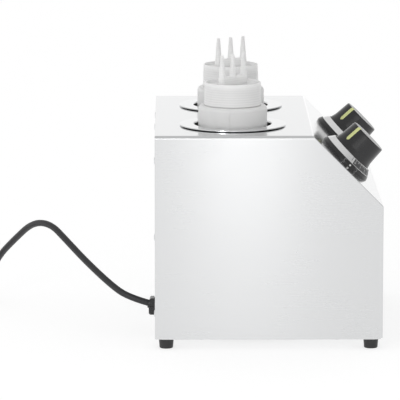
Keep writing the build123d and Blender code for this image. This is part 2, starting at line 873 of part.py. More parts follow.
def cord_gland():
    """Snap-in strain relief: barrel through the panel, collar, two lobes and a nose."""
    place = Pos(0, gland_y, gland_z)
    along = place * Rot(0, -90, 0)
    body = along * tube(gland_barrel_r, -gland_barrel_length, 0)
    body = chamfer(body.edges().group_by(Axis.X)[-1], 1.5)
    body += along * tube(gland_collar_r, 0, 1.8)
    upper = Pos(-3.6, 0, 4.4) * Box(5.2, 15.0, 9.0)
    lower = Pos(-4.4, 0, -5.2) * Box(6.0, 15.0, 9.4)
    lobes = fillet(upper.edges().filter_by(Axis.Y).group_by(Axis.X)[0], 2.2)
    lobes += fillet(lower.edges().filter_by(Axis.Y).group_by(Axis.X)[0], 2.6)
    body += place * lobes
    nose = Plane(origin=(0, gland_y, gland_z), z_dir=mouth_direction()).location
    body += nose * lathe([(0, 1), (7.0, 1), (5.2, gland_nose), (0, gland_nose)])
    for z in (-4.0, 4.0):
        body += place * Pos(6.0, 0, z * 1.9) * Box(7.0, 6.0, 2.0)
    return body


def arc_radius(before, corner, after):
    """The largest tidy arc at a corner: 0.45 of the shorter run over the half turn's tangent."""
    into, out = Vector(corner) - Vector(before), Vector(after) - Vector(corner)
    half_turn = math.radians(into.get_angle(out)) / 2
    return 0.45 * min(into.length, out.length) / math.tan(half_turn)


def lead_points():
    """The lead's corners, from the gland's mouth to where the coil's tube begins."""
    mouth = gland_mouth()
    heading = Vector(-math.sqrt(0.5), math.sqrt(0.5), 0)
    start = spiral_point(coil_at, coil_r, 45, coil_low) - heading * 2 * cord_r
    first = [tuple(mouth), tuple(mouth + mouth_direction() * lead_out)]
    return first + lead_route + [tuple(start - heading * floor_run), tuple(start)]


def cord_lead():
    points = lead_points()
    radii = [arc_radius(*points[i - 1:i + 2]) for i in range(1, len(points) - 1)]
    print("lead radii", [round(radius) for radius in radii])
    path = FilletPolyline(*points, radius=radii)
    section = Plane(origin=path @ 0, z_dir=path % 0) * Circle(cord_r)
    lead = sweep(section, path=path)
    ideal = math.pi * cord_r ** 2 * path.length
    print("lead length", round(path.length), "volume share", round(lead.volume / ideal, 4))
    return lead


def spiral_point(centre, radius, angle, z):
    turn = math.radians(angle)
    return Vector(centre[0] + radius * math.cos(turn), centre[1] + radius * math.sin(turn), z)


def coil_path():
    """Half turns that spiral in on the floor, climb a layer and spiral out on top.

    Half turns alternate between two centres half a turn's pitch apart, so each one leaves
    the next a whole pitch further in, or further out, after a full turn.
    """
    pitch = turn_pitch
    step = pitch / 2 * math.sqrt(0.5)
    x, y = coil_at
    inward, outward = (x - step, y - step), (x + step, y + step)
    edges = []

    def half_turn(centre, radius, first, sweep_angle, z):
        points = [spiral_point(centre, radius, first + sweep_angle * part, z) for part in (0, 0.5, 1)]
        edges.append(ThreePointArc(*points))

    radius = coil_r
    for lap in range(5):
        centre = coil_at if lap % 2 == 0 else inward
        half_turn(centre, radius, 45 + 180 * (lap % 2), 180, coil_low)
        radius -= pitch / 2
    # the climb: two arcs that tilt up and level off again, about the inward centre
    start = spiral_point(inward, radius, 225, coil_low)
    finish = spiral_point(inward, radius, 405, coil_high)
    rise = math.sqrt(radius ** 2 + ((coil_high - coil_low) / 2) ** 2)
    heading = Vector(math.cos(math.radians(315)), math.sin(math.radians(315)), 0)
    joint = (start + finish) / 2 + heading * rise
    edges.append(TangentArc(start, joint, tangent=heading))
    edges.append(TangentArc(joint, finish, tangent=edges[-1] % 1))
    half_turn(inward, radius, 45, 180, coil_high)
    radius += pitch
    for lap in range(3):
        centre = outward if lap % 2 == 0 else coil_at
        half_turn(centre, radius, 225 + 180 * (lap % 2), 180, coil_high)
        radius += pitch / 2
    half_turn(coil_at, coil_r, 45, 135, coil_high)
    lead_in = (edges[0] % 0) * (2 * cord_r)
    tail = (edges[-1] % 1) * coil_tail
    edges.insert(0, Line(edges[0] @ 0 - lead_in, edges[0] @ 0))
    edges.append(Line(edges[-1] @ 1, edges[-1] @ 1 + tail))
    return Wire(edges)


def least_gap(path):
    """The smallest space between two turns of the coil, measured on points along it."""
    count = 900
    points = [path @ (i / (count - 1)) for i in range(count)]
    apart = int(count * 6 * cord_r / path.length)
    nearest = min(
        (points[i] - points[j]).length for i in range(count) for j in range(i + apart, count)
    )
    return nearest - 2 * cord_r


def cord_coil():
    path = coil_path()
    section = Plane(origin=path @ 0, z_dir=path % 0) * Circle(cord_r)
    coil = sweep(section, path=path)
    ideal = math.pi * cord_r ** 2 * path.length
    print("coil length", round(path.length), "least gap", round(least_gap(path), 2),
          "volume share", round(coil.volume / ideal, 4))
    return coil


def coil_tie():
    """A strap round the bundle of turns."""
    x, y = coil_at
    inner, outer = coil_r - 22.5, coil_r + 5.0
    low, high = coil_lift - 0.2, coil_high + cord_r + 0.6
    middle = Pos(x, y - (inner + outer) / 2, (low + high) / 2)
    hole = RectangleRounded(outer - inner, high - low, 3.0)
    strap = RectangleRounded(outer - inner + 2 * tie_sheet, high - low + 2 * tie_sheet, 3.0 + tie_sheet)
    return middle * Pos(-tie_width / 2, 0, 0) * extrude(Plane.YZ * (strap - hole), tie_width)


def plug_place():
    """z along the plug, out of its boot towards the blades, x up."""
    x, y = coil_at
    start = (x - coil_r, y - coil_tail, coil_high)
    return Plane(origin=start, x_dir=(0, 0, 1), z_dir=(0, -1, 0)).location


def plug_body():
    """Moulded body with a ribbed, tapered boot."""
    half = coil_high
    body_end = plug_boot_length + plug_body_length
    boot = lathe([
        (0, 0), (plug_boot_tip_r, 0), (plug_boot_r, plug_boot_length + 2), (0, plug_boot_length + 2),
    ])
    groove_count, groove_pitch = 4, 4.4
    for step in range(groove_count):
        z = 3.5 + groove_pitch * step
        ring = tube(plug_boot_r + 2, z, z + 1.6) - tube(plug_boot_tip_r - 0.4, z - 1, z + 3)
        boot -= ring
    waist = Pos(0, 0, plug_boot_length) * RectangleRounded(1.5 * half, 0.62 * plug_width, 5.0)
    grip = Pos(0, 0, plug_boot_length + 0.5 * plug_body_length) * RectangleRounded(
        2 * half, 0.94 * plug_width, 6.0
    )
    face = Pos(0, 0, body_end) * RectangleRounded(2 * half, plug_width, 6.0)
    body = loft([waist, grip]) + loft([grip, face])
    return plug_place() * (boot + body)


def plug_pins():
    """Two flat blades and a round earth pin."""
    face = plug_boot_length + plug_body_length
    pieces = []
    shift = ground_offset / 2
    for up in (-1, 1):
        blade = Box(blade_sheet, blade_width, blade_length)
        blade = chamfer(blade.edges().group_by(Axis.Z)[-1].filter_by(Axis.Y), 0.6)
        pieces.append(Pos(up * blade_pitch / 2, -shift + 1.0, face + blade_length / 2) * blade)
    pin = tube(ground_r, face, face + ground_length)
    pin = fillet(pin.edges().group_by(Axis.Z)[-1], 1.2)
    pieces.append(Pos(0, shift + 1.0, 0) * pin)
    return [plug_place() * piece for piece in pieces]


def pieces():
    """Every node's name and shape."""
    nodes = {
        "casing_shell": casing_shell(),
        "rear_panel": rear_panel(),
        "rear_panel_screws": rear_panel_screws(),
        "base_plate": base_plate(),
        "base_plate_screws": base_plate_screws(),
        "rubber_feet": rubber_feet(),
        "foot_screws": foot_screws(),
        "well_nuts": well_nuts(),
        "clamp_bolts": clamp_bolts(),
        "thermal_cutouts": thermal_cutouts(),
        "bulb_clips": bulb_clips(),
        "control_screws": control_screws(),
        "terminal_block": terminal_block(),
        "block_screws": block_screws(),
        "earth_stud": earth_stud(),
        "cord_gland": cord_gland(),
        "cord_lead": cord_lead(),
        "cord_coil": cord_coil(),
        "coil_tie": coil_tie(),
        "plug_body": plug_body(),
        "plug_pins": plug_pins(),
    }
    for side in sides:
        for name, make in (
            ("well", well),
            ("heater_band", heater_band),
            ("insulation", insulation),
            ("thermostat", thermostat),
            ("capillary", capillary),
            ("bezel", bezel),
            ("index_window", index_window),
            ("scale_ring", scale_ring),
            ("spindle", spindle),
            ("knob", knob),
            ("knob_pointer", knob_pointer),
            ("pot", pot),
            ("bottle", bottle),
            ("nozzle_cap", nozzle_cap),
            ("cap_seal", cap_seal),
        ):
            nodes[f"{name}_{side}"] = make(side)
    return nodes


def main():
    os.makedirs("parts", exist_ok=True)
    for name, shape in pieces().items():
        solids = shape if isinstance(shape, list) else [shape]
        solids = [solid for piece in solids for solid in piece.solids()]
        placed = [Pos(-middle_x, 0, 0) * solid for solid in solids]
        whole = placed[0] if len(placed) == 1 else Compound(children=placed)
        export_step(whole, f"parts/{name}.step")
    print("origin is", round(middle_x, 3), "in front of the casing's back face")


main()
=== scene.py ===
import math

import bmesh
import bpy
from mathutils import Matrix, Vector


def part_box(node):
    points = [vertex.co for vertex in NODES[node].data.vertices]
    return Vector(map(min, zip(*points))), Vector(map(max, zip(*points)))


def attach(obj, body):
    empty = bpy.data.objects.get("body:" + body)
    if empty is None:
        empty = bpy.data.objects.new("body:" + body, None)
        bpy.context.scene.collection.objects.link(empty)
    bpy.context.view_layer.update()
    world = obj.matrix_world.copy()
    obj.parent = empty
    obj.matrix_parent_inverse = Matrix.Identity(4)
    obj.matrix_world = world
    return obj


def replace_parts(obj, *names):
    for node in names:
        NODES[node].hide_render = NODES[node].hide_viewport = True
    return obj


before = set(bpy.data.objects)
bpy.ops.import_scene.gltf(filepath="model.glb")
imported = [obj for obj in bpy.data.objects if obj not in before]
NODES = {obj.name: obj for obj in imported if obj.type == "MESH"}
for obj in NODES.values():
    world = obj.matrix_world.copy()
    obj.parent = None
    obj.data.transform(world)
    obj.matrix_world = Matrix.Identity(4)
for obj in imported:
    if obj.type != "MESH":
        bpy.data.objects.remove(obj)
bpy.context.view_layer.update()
SIDES = {"near": -1, "far": 1}

# ---- sizes in metres, as in the CAD

MIDDLE_X = -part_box("rear_panel")[0][0]   # the origin in front of the casing's back face
CASE_LENGTH, CASE_WIDTH = 0.250, 2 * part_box("casing_shell")[1][1]
DECK_Z = 0.237
DECK_LENGTH, SLOPE_DROP = 0.1727, 0.078
KNOB_FROM_FOLD = 0.0545
WELL_Y = 0.077
WELL_X = DECK_LENGTH / 2 - MIDDLE_X
SLOPE = math.atan2(SLOPE_DROP, CASE_LENGTH - DECK_LENGTH)

CORD_R = 0.0037
COIL_AT = (-0.2726, 0.1248)    # from the casing's back face
COIL_R = 0.050
TURN_PITCH = 2 * CORD_R + 0.0006
COIL_LOW = CORD_R + 0.0011
COIL_HIGH = COIL_LOW + 2 * CORD_R + 0.0028
COIL_TAIL_START, COIL_TAIL = 0.010, 0.033
FLOOR_RUN = 0.022
GLAND_AT = (0.0, -0.069, 0.0321)
GLAND_TILT = math.radians(16.3)
GLAND_NOSE = 0.008
LEAD_OUT = 0.024
LEAD_ROUTE = [
    (-0.0502, -0.0569, 0.0529),
    (-0.0790, -0.0274, 0.0746),
    (-0.1019, -0.0001, 0.0940),
    (-0.1196, 0.0210, 0.1088),
    (-0.1410, 0.0464, 0.1062),
    (-0.1627, 0.0722, 0.0826),
    (-0.1836, 0.0971, 0.0573),
    (-0.1935, 0.1125, 0.0320),
    (-0.2050, 0.1270, 0.0140),
]

REAR_SCREW_Z = (0.0182, 0.2303)
REAR_SCREW_IN, BASE_SCREW_IN = 0.0067, 0.0082    # from the casing's side faces
BASE_SCREW_Z = 0.0105

# along and round a control's own axis, with turns in degrees
KNOB_WALL = ((0.0232, 0.0175), (0.0217, 0.0373))    # radius and height, low and high
KNOB_EDGE = 0.0016
POINTER_TURN, POINTER_HALF = 43.5, 0.0021
POINTER_FOOT_Z, POINTER_RUN = 0.0185, 0.0168
POINTER_SECTION = [    # share of the half width, lift
    (-1, -0.0006), (-1, 0.0001), (-0.8, 0.00032), (0, 0.0004), (0.8, 0.00032), (1, 0.0001), (1, -0.0006),
]
BEZEL = ((0.0333, 0.0009), (0.0316, 0.0048))
RING = ((0.0312, 0.0048), (0.0266, 0.0112))
WINDOW_TURN, WINDOW_Z = 98.6, 0.0022
WINDOW_HALF_LONG, WINDOW_HALF_HIGH, WINDOW_RIM_R = 0.0099, 0.00165, 0.00028
DOT_R, DOT_RISE, DOT_FROM_AXIS, DOT_Z = 0.00118, 0.0009, 0.0336, 0.0020
BAND_TURN, BAND_SWEEP = 99.5, 162
START_TICK = (93.6, 94.6)
SCALE_TURN, NUMBER_STEP, NUMBERS = 104, 17, 10
TICK_HALF = (0.00022, 0.0009, 0.00004)
NUMBER_SIZE, PRINT_LIFT = 0.0036, 0.00009

CAP_RIB_PITCH, CAP_WALL_Z = 0.0026, (0.266, 0.282)
BOTTLE_R, BOTTLE_FOOT_Z, SHOULDER_Z, SHOULDER_ROUND = 0.0382, 0.070, 0.2555, 0.0045
SEAM_HALF = 0.00045
NECK_R, THREAD_Z, THREAD_PITCH, THREAD_TURNS = 0.0282, 0.2655, 0.0046, 2.25

# ---- camera

CAMERA_AT = (0.02211 - MIDDLE_X, -3.96029 - CASE_WIDTH / 2, 0.8294)
CAMERA_DOWN, CAMERA_YAW = math.radians(9.4988), math.radians(-0.3954)
CAMERA_LENS, SENSOR = 331.4, 36.0


def add_camera():
    data = bpy.data.cameras.new("camera")
    data.sensor_fit = "HORIZONTAL"
    data.sensor_width = SENSOR
    data.lens = CAMERA_LENS
    data.clip_end = 60
    camera = bpy.data.objects.new("camera", data)
    bpy.context.scene.collection.objects.link(camera)
    camera.location = CAMERA_AT
    camera.rotation_euler = (math.pi / 2 - CAMERA_DOWN, 0, CAMERA_YAW)
    bpy.context.scene.camera = camera


add_camera()

# ---- making meshes


def link(name, mesh):
    piece = bpy.data.objects.new(name, mesh)
    bpy.context.scene.collection.objects.link(piece)
    return piece


def on_slope(side):
    """The frame of one control: x down the slope, y across, z out of the panel."""
    origin = Vector((
        DECK_LENGTH + KNOB_FROM_FOLD * math.cos(SLOPE) - MIDDLE_X,
        SIDES[side] * WELL_Y,
        DECK_Z - KNOB_FROM_FOLD * math.sin(SLOPE),
    ))
    turn = Matrix.Rotation(SLOPE, 4, "Y")
    return Matrix.Translation(origin) @ turn


def at_well(side):
    """The frame of one well, on its axis at the floor."""
    return Matrix.Translation((WELL_X, SIDES[side] * WELL_Y, 0))


# ---- materials

MAP_KEYS = ("From Min", "From Max", "To Min", "To Max")


class Finish:
    """A node material with a shorthand for its nodes and links."""

    def __init__(self, name):
        self.material = bpy.data.materials.new(name)
        self.material.use_nodes = True
        self.tree = self.material.node_tree
        self.shader = self.tree.nodes["Principled BSDF"]
        self.coords = self.add("ShaderNodeTexCoord").outputs["Object"]

    def add(self, kind, **values):
        node = self.tree.nodes.new(kind)
        for key, value in values.items():
            setattr(node, key, value)
        return node

    def join(self, source, target):
        self.tree.links.new(source, target)

    def put(self, **values):
        for key, value in values.items():
            self.shader.inputs[key.replace("_", " ")].default_value = value

    def stretched(self, scale, turn=(0, 0, 0)):
        node = self.add("ShaderNodeMapping")
        node.inputs["Scale"].default_value = scale
        node.inputs["Rotation"].default_value = turn
        self.join(self.coords, node.inputs["Vector"])
        return node.outputs["Vector"]

    def noise(self, scale, detail=3.0, rough=0.55, vector=None, distortion=0.0):
        node = self.add("ShaderNodeTexNoise")
        node.inputs["Scale"].default_value = scale
        node.inputs["Detail"].default_value = detail
        node.inputs["Roughness"].default_value = rough
        node.inputs["Distortion"].default_value = distortion
        self.join(vector or self.coords, node.inputs["Vector"])
        return node.outputs["Fac"]

    def spread(self, value, low, high, at_low=0.3, at_high=0.7):
        node = self.add("ShaderNodeMapRange")
        for key, number in zip(MAP_KEYS, (at_low, at_high, low, high)):
            node.inputs[key].default_value = number
        self.join(value, node.inputs["Value"])
        return node.outputs["Result"]

    def sum(self, a, b, how="ADD"):
        node = self.add("ShaderNodeMath", operation=how)
        self.join(a, node.inputs[0])
        if isinstance(b, (int, float)):
            node.inputs[1].default_value = b
        else:
            self.join(b, node.inputs[1])
        return node.outputs["Value"]

    def blend(self, share, a, b):
        node = self.add("ShaderNodeMix", data_type="RGBA")
        for socket, colour in ((6, a), (7, b)):
            if isinstance(colour, (tuple, list)):
                node.inputs[socket].default_value = (*colour, 1)
            else:
                self.join(colour, node.inputs[socket])
        self.join(share, node.inputs["Factor"])
        return node.outputs[2]

    def colour(self, socket):
        self.join(socket, self.shader.inputs["Base Color"])

    def rough(self, socket):
        self.join(socket, self.shader.inputs["Roughness"])

    def bump(self, height, strength, distance):
        node = self.add("ShaderNodeBump")
        node.inputs["Strength"].default_value = strength
        node.inputs["Distance"].default_value = distance
        self.join(height, node.inputs["Height"])
        before = self.shader.inputs["Normal"]
        if before.is_linked:
            self.join(before.links[0].from_socket, node.inputs["Normal"])
        self.join(node.outputs["Normal"], before)


def brushed(name, base, rough, along, across, strength, stretch):
    """Ground sheet with fine lines and faint smears. The noise scales in `along` serve the faces that look
    along y, and those in `across` all other faces."""
    f = Finish(name)
    lines = f.noise(1.0, 2.0, 0.6, f.stretched(along))
    other = f.noise(1.0, 2.0, 0.6, f.stretched(across))
    normal = f.add("ShaderNodeNewGeometry").outputs["Normal"]
    axes = f.add("ShaderNodeSeparateXYZ")
    f.join(normal, axes.inputs[0])
    facing = f.spread(f.sum(axes.outputs["Y"], axes.outputs["Y"], "MULTIPLY"), 1, 0, 0.45, 0.55)
    mix = f.add("ShaderNodeMix", data_type="FLOAT")
    for source, socket in ((facing, 0), (lines, 2), (other, 3)):
        f.join(source, mix.inputs[socket])
    grain = mix.outputs[0]
    smear = f.noise(14, 4.0, 0.6, distortion=0.6)
    smoother = f.spread(facing, 0.0, -0.13, 0.0, 1.0)
    uneven = f.sum(f.spread(grain, rough - 0.01, rough + 0.01), f.spread(smear, -0.015, 0.02))
    f.rough(f.sum(uneven, smoother))
    dark, light = [c * 0.992 for c in base], [min(1, c * 1.006) for c in base]
    f.colour(f.blend(f.spread(grain, 0, 1), dark, light))
    f.bump(grain, strength, 0.00002)
    f.put(Metallic=1.0, Anisotropic=stretch)
    crosswise = f.add("ShaderNodeVectorMath", operation="CROSS_PRODUCT")
    f.join(normal, crosswise.inputs[0])
    crosswise.inputs[1].default_value = (0, 1, 0)
    lifted = f.add("ShaderNodeVectorMath", operation="ADD")
    f.join(crosswise.outputs[0], lifted.inputs[0])
    lifted.inputs[1].default_value = (0, 0, 0.05)
    f.join(lifted.outputs[0], f.shader.inputs["Tangent"])
    return f.material


def bare_metal(name, base, rough, spots=160.0, stain=None, strength=0.1):
    """Plated, drawn or turned metal with faint clouding and handling marks."""
    f = Finish(name)
    cloud, fine = f.noise(spots * 0.2, 4.0), f.noise(spots * 12, 2.0)
    tint = stain or [c * 0.86 for c in base]
    f.colour(f.blend(f.spread(cloud, 0, 1, 0.42, 0.72), base, tint))
    f.rough(f.sum(f.spread(cloud, rough - 0.05, rough + 0.07), f.spread(fine, -0.02, 0.03)))
    f.bump(fine, strength, 0.00003)
    f.put(Metallic=1.0)
    return f.material


def moulded_finish(name, base, rough, grain=2600.0, strength=0.15, wear=None, sheen=0.0, translucent=0.0):
    """Moulded plastic or rubber: fine texture, uneven gloss, scuffs and a little dust."""
    f = Finish(name)
    fine, cloud = f.noise(grain, 2.0, 0.6), f.noise(38, 4.0, 0.6, distortion=0.4)
    scuff = f.noise(1.0, 5.0, 0.7, f.stretched((260, 90, 420), (0.4, 0.7, 0.2)))
    worn = wear or [min(1, c * 1.25 + 0.01) for c in base]
    f.colour(f.blend(f.spread(scuff, 0, 0.55, 0.56, 0.74), base, worn))
    f.rough(f.sum(f.spread(cloud, rough - 0.05, rough + 0.06), f.spread(scuff, 0, 0.07, 0.5, 0.75)))
    f.bump(fine, strength, 0.00004)
    f.put(Sheen_Weight=sheen)
    if translucent:
        f.put(Subsurface_Weight=translucent, Subsurface_Radius=(0.006, 0.006, 0.006), Subsurface_Scale=1.0)
    return f


def moulded(name, base, rough, **texture):
    return moulded_finish(name, base, rough, **texture).material


def ribbed_cap():
    """Translucent cap wall. The turns of the inner thread, showing faintly through its sides, are painted
    shade: grey bands in the colour, stronger lower down, with a matching bump.
    """
    f = moulded_finish(
        "cap_wall", (0.84, 0.84, 0.835), 0.34,
        grain=1200, strength=0.08, wear=(0.87, 0.87, 0.86), translucent=0.4,
    )
    axes, normal = f.add("ShaderNodeSeparateXYZ"), f.add("ShaderNodeSeparateXYZ")
    f.join(f.coords, axes.inputs[0])
    f.join(f.add("ShaderNodeNewGeometry").outputs["Normal"], normal.inputs[0])
    upright = f.spread(f.sum(normal.outputs["Z"], normal.outputs["Z"], "MULTIPLY"), 1, 0, 0.02, 0.1)
    turns = f.add("ShaderNodeMath", operation="SINE")
    f.join(f.sum(axes.outputs["Z"], 2 * math.pi / CAP_RIB_PITCH, "MULTIPLY"), turns.inputs[0])
    lower = f.spread(axes.outputs["Z"], 1.0, 0.35, *CAP_WALL_Z)
    # painted shade: grey bands, on upright faces only, where the inner thread shows through the wall
    thread_shade = f.sum(f.spread(turns.outputs[0], 0, 0.28, -0.4, 1.0), upright, "MULTIPLY")
    share = f.sum(thread_shade, lower, "MULTIPLY")
    before = f.shader.inputs["Base Color"].links[0].from_socket
    f.colour(f.blend(share, before, (0.62, 0.62, 0.62)))
    f.bump(f.sum(turns.outputs[0], upright, "MULTIPLY"), 0.12, 0.0001)
    return f.material


def assign(piece, material):
    slots = piece.data.materials
    if len(slots):
        for i in range(len(slots)):
            slots[i] = material
    else:
        slots.append(material)


def build_materials():
    return {
        "case": brushed(
            "satin_sheet", (0.69, 0.695, 0.70), 0.26,
            along=(6, 900, 900), across=(900, 6, 900), strength=0.0025, stretch=0.88,
        ),
        "drawn": brushed(
            "drawn_steel", (0.74, 0.745, 0.75), 0.22,
            along=(900, 900, 12), across=(900, 900, 12), strength=0.08, stretch=0.0,
        ),
        "zinc": bare_metal("zinc_plate", (0.72, 0.73, 0.74), 0.28),
        "band": bare_metal("band_steel", (0.55, 0.53, 0.50), 0.42, spots=90, stain=(0.38, 0.31, 0.25)),
        "plated": bare_metal("plated_steel", (0.66, 0.66, 0.67), 0.3),
        "copper": bare_metal("copper_tube", (0.80, 0.46, 0.30), 0.3, spots=200, stain=(0.45, 0.24, 0.17)),
        "brass": bare_metal("turned_brass", (0.80, 0.62, 0.30), 0.26, spots=220, stain=(0.52, 0.38, 0.18)),
        "silver": bare_metal("silver_scale", (0.88, 0.88, 0.88), 0.22, spots=120),
        "black": moulded("black_moulding", (0.013, 0.013, 0.014), 0.23, wear=(0.035, 0.034, 0.034)),
        "phenolic": moulded("black_phenolic", (0.03, 0.028, 0.027), 0.5),
        "smoked": moulded("smoked_lens", (0.012, 0.011, 0.012), 0.12, strength=0.02),
        "cream": moulded("pointer_inlay", (0.66, 0.70, 0.30), 0.42, wear=(0.58, 0.60, 0.32)),
        # the white of the window's pin is a painted highlight
        "painted_highlight": moulded("index_dot", (0.85, 0.85, 0.83), 0.4),
        "bottle": moulded(
            "bottle_wall", (0.80, 0.80, 0.795), 0.36,
            grain=900, strength=0.10, wear=(0.83, 0.83, 0.82), translucent=0.4,
        ),
        "cap": ribbed_cap(),
        # dark colour of the scale ring's band, a painted reflection, and of the printed start tick
        "ink_and_painted_reflection": moulded("dial_ink_and_painted_reflection", (0.055, 0.055, 0.057), 0.38),
        "print": moulded("dial_numbers", (0.72, 0.72, 0.72), 0.4),
        "rim": moulded("window_rim", (0.30, 0.30, 0.305), 0.25),
        "seal": moulded("silicone_seal", (0.62, 0.60, 0.56), 0.55, sheen=0.2),
        "rubber": moulded(
            "foot_rubber", (0.016, 0.016, 0.017), 0.62,
            grain=1800, strength=0.3, wear=(0.04, 0.04, 0.04), sheen=0.15,
        ),
        "cord": moulded(
            "cord_jacket", (0.017, 0.017, 0.019), 0.46,
            grain=2200, strength=0.2, wear=(0.034, 0.034, 0.036), sheen=0.05,
        ),
        "plug": moulded(
            "plug_moulding", (0.024, 0.024, 0.026), 0.5,
            grain=2000, strength=0.25, wear=(0.05, 0.05, 0.05), sheen=0.1,
        ),
        "nylon": moulded("natural_nylon", (0.70, 0.67, 0.58), 0.42, translucent=0.2),
        "wool": moulded(
            "glass_wool", (0.78, 0.68, 0.36), 0.9,
            grain=500, strength=0.9, wear=(0.66, 0.52, 0.24), sheen=0.4,
        ),
    }


MATERIALS = build_materials()

NODE_FINISH = {
    "casing_shell": "case", "rear_panel": "case", "base_plate": "case",
    "rear_panel_screws": "zinc", "base_plate_screws": "zinc", "foot_screws": "zinc",
    "well_nuts": "zinc", "clamp_bolts": "zinc", "control_screws": "zinc", "block_screws": "zinc",
    "rubber_feet": "rubber", "thermal_cutouts": "phenolic", "bulb_clips": "plated",
    "terminal_block": "nylon", "earth_stud": "brass", "cord_gland": "black", "coil_tie": "black",
    "cord_lead": "black", "cord_coil": "black",
    "plug_body": "plug", "plug_pins": "brass", "well": "drawn", "heater_band": "band",
    "insulation": "wool", "thermostat": "phenolic", "capillary": "copper", "bezel": "black",
    "index_window": "smoked", "scale_ring": "silver", "spindle": "plated", "knob": "black",
    "knob_pointer": "cream", "pot": "drawn", "bottle": "bottle", "nozzle_cap": "cap", "cap_seal": "seal",
}


def finish_nodes():
    for name, piece in NODES.items():
        key = name if name in NODE_FINISH else name.rsplit("_", 1)[0]   # without _near or _far
        assign(piece, MATERIALS[NODE_FINISH[key]])


finish_nodes()

# ---- the cord


def arc_points(centre, radius, start, count, z_low, z_high=None):
    """Control points round an arc, 16 to a turn, each in the middle of its own step."""
    step = math.pi / 8
    points = []
    for i in range(count):
        angle = start + (i + 0.5) * step
        rise = 0 if z_high is None else (z_high - z_low) * (1 - math.cos((i + 0.5) * step)) / 2
        reach = radius / math.cos(step / 2)
        x, y = centre[0] + reach * math.cos(angle), centre[1] + reach * math.sin(angle)
        points.append((x, y, z_low + rise))
    return points


def cord_points():
    """Out of the gland, over the arch, and into the coil: outer to inner turns below, back out on top."""
    leaving = Vector((-math.cos(GLAND_TILT), 0, math.sin(GLAND_TILT)))
    mouth = Vector(GLAND_AT) + leaving * GLAND_NOSE
    out = mouth + leaving * LEAD_OUT
    x, y = COIL_AT
    eighth = math.pi / 4
    step = TURN_PITCH / 2 * math.sqrt(0.5)
    inward, outward = (x - step, y - step), (x + step, y + step)
    heading = Vector((-math.sqrt(0.5), math.sqrt(0.5), 0))
    begin = Vector((x + COIL_R * math.cos(eighth), y + COIL_R * math.sin(eighth), COIL_LOW))
    points = [mouth, out, *LEAD_ROUTE]
    points += [begin - heading * (2 * CORD_R + FLOOR_RUN), begin - heading * 2 * CORD_R]
    radius = COIL_R
    for lap in range(5):
        centre = COIL_AT if lap % 2 == 0 else inward
        points += arc_points(centre, radius, eighth + math.pi * (lap % 2), 8, COIL_LOW)
        radius -= TURN_PITCH / 2
    points += arc_points(inward, radius, 5 * eighth, 8, COIL_LOW, COIL_HIGH)
    points += arc_points(inward, radius, eighth, 8, COIL_HIGH)
    radius += TURN_PITCH
    for lap in range(3):
        centre = outward if lap % 2 == 0 else COIL_AT
        points += arc_points(centre, radius, eighth * (5 if lap % 2 == 0 else 1), 8, COIL_HIGH)
        radius += TURN_PITCH / 2
    points += arc_points(COIL_AT, COIL_R, eighth, 6, COIL_HIGH)
    points += [(x - COIL_R, y - back, COIL_HIGH) for back in (COIL_TAIL_START, COIL_TAIL)]
    return [Vector(p) - Vector((MIDDLE_X, 0, 0)) for p in points]


def add_cord():
    curve = bpy.data.curves.new("power_cord", "CURVE")
    curve.dimensions = "3D"
    curve.bevel_depth = CORD_R
    curve.bevel_resolution = 6
    curve.resolution_u = 6
    curve.use_fill_caps = True
    route = cord_points()
    spline = curve.splines.new("NURBS")
    spline.points.add(len(route) - 1)
    for point, at in zip(spline.points, route):
        point.co = (*at, 1)
    spline.order_u = 3
    spline.use_endpoint_u = True
    cord = link("power_cord", curve)
    assign(cord, MATERIALS["cord"])
    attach(cord, "warmer")
    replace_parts(cord, "cord_lead", "cord_coil")


add_cord()

# ---- pieces that add the finer shapes


UP = Vector((0, 0, 1))


def settle(name, mesh, finish, body):
    """Put a mesh in the scene as a piece that rides on a body."""
    piece = link(name, mesh)
    assign(piece, MATERIALS[finish])
    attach(piece, body)
    return piece


def mesh_from(name, points, faces, finish, body, sharp_from=40):
    mesh = bpy.data.meshes.new(name)
    mesh.from_pydata([tuple(point) for point in points], [], faces)
    mesh.update()
    mesh.polygons.foreach_set("use_smooth", [True] * len(mesh.polygons))
    mesh.set_sharp_from_angle(angle=math.radians(sharp_from))
    return settle(name, mesh, finish, body)


def strip_faces(rows, columns, start=0, closed=False):
    """Quads of a grid of points given row by row."""
    faces = []
    for row in range(rows - 1):
        for column in range(columns if closed else columns - 1):
            a = start + row * columns + column
            b = start + row * columns + (column + 1) % columns
            faces.append((a, b, b + columns, a + columns))
    return faces


def radial_and_tangent(angle):
    return Vector((math.cos(angle), math.sin(angle), 0)), Vector((-math.sin(angle), math.cos(angle), 0))


def from_upslope(turn):
    """Degrees from straight up the slope towards the near side, as an angle about a control's axis."""
    return math.pi + math.radians(turn)


def polar(turn, radius, z):
    """A point of a control."""
    return radial_and_tangent(from_upslope(turn))[0] * radius + UP * z


def screw_heads(name, places, radius, height):
    """Low domed heads with a cross recess, one at each place, z out of the panel."""
    rings, spokes = 16, 72
    points, faces = [], []
    arm, reach, depth = 0.16 * radius, 0.58 * radius, 0.55 * height
    for place in places:
        start = len(points)
        for ring in range(rings + 1):
            share = ring / rings
            flat = radius * (0.0001 + share)
            for spoke in range(spokes):
                angle = 2 * math.pi * spoke / spokes
                x, y = flat * math.cos(angle), flat * math.sin(angle)
                z = height * math.sqrt(max(0.0, 1 - 0.94 * share ** 4))
                if abs(y) < arm and abs(x) < reach or abs(x) < arm and abs(y) < reach:
                    z -= depth * (1.2 - flat / reach) + 0.15 * depth
                points.append(place @ Vector((x, y, z)))
        for spoke in range(spokes):
            angle = 2 * math.pi * spoke / spokes
            points.append(place @ Vector((radius * math.cos(angle), radius * math.sin(angle), -0.0001)))
        faces += strip_faces(rings + 2, spokes, start, closed=True)
    return mesh_from(name, points, faces, "zinc", "warmer", sharp_from=30)


